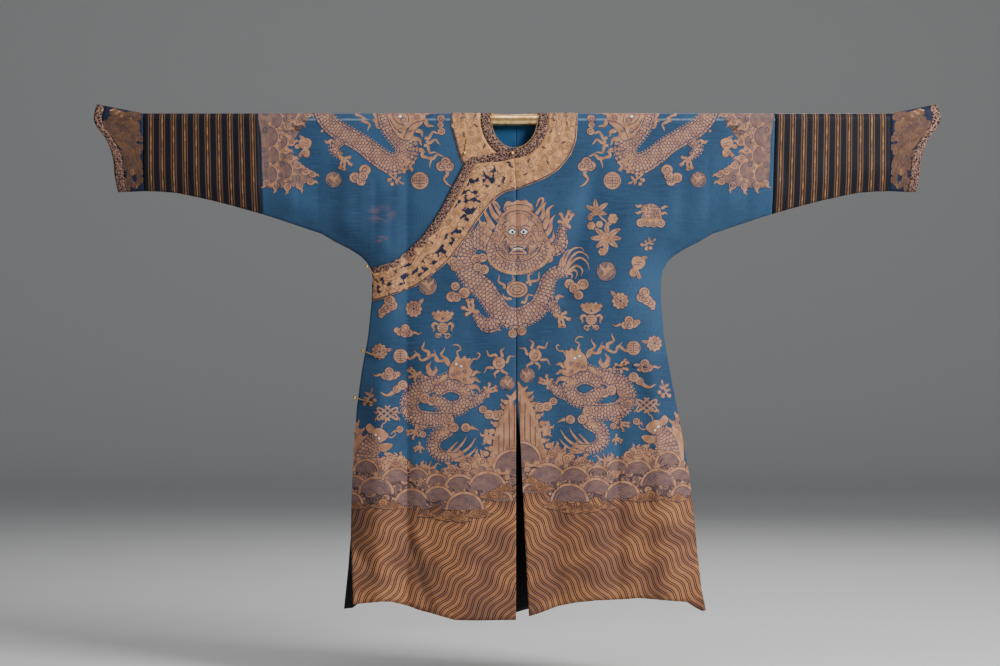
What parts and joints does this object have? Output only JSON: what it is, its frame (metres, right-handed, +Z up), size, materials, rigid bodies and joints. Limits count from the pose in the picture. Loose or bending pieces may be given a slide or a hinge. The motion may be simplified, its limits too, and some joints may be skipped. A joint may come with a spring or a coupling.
{
  "type": "dragon robe on a rod",
  "caption": "Blue silk gauze dragon robe with a gold facing, striped sleeves and horse-hoof cuffs, spread on a brass rod.",
  "frame": {"origin": "on the rod's axis at the neck, midway along the rod", "axes": "+X along the rod to the viewer's right, +Z up, the front of the robe faces -Y"},
  "size_m": [2.198, 0.0788, 1.3384],
  "materials": {
    "silk_gauze": "blue silk gauze brocaded in gold and tan",
    "striped_silk": "dark silk with fine gold stripes",
    "brocade": "gold brocade on navy",
    "galloon": "brown figured ribbon",
    "gold_cord": "gold-wrapped cord",
    "gilt": "gilt",
    "brass": "polished brass, slightly aged"
  },
  "bodies": {
    "root": {"front_right": "silk_gauze", "front_left": "silk_gauze", "outer_lap": "silk_gauze", "back_right": "silk_gauze", "back_left": "silk_gauze", "sleeve_left_front": "striped_silk", "sleeve_left_back": "striped_silk", "sleeve_right_front": "striped_silk", "sleeve_right_back": "striped_silk", "cuff_left_front": "brocade", "cuff_left_back": "brocade", "cuff_right_front": "brocade", "cuff_right_back": "brocade", "cuff_edging_left_front": "galloon", "cuff_edging_left_back": "galloon", "cuff_edging_right_front": "galloon", "cuff_edging_right_back": "galloon", "facing_left": "brocade", "facing_lap": "brocade", "facing_right": "brocade", "facing_back_left": "brocade", "facing_back_right": "brocade", "edging_lap": "galloon", "edging_right": "galloon", "edging_back_left": "galloon", "edging_back_right": "galloon", "neck_piping": "gold_cord", "loop_2": "gold_cord", "loop_3": "gold_cord", "loop_4": "gold_cord", "loop_5": "gold_cord", "button_1": "gilt", "button_2": "gilt", "button_3": "gilt", "button_4": "gilt", "button_5": "gilt", "rod": "brass"}
  },
  "joints": []
}
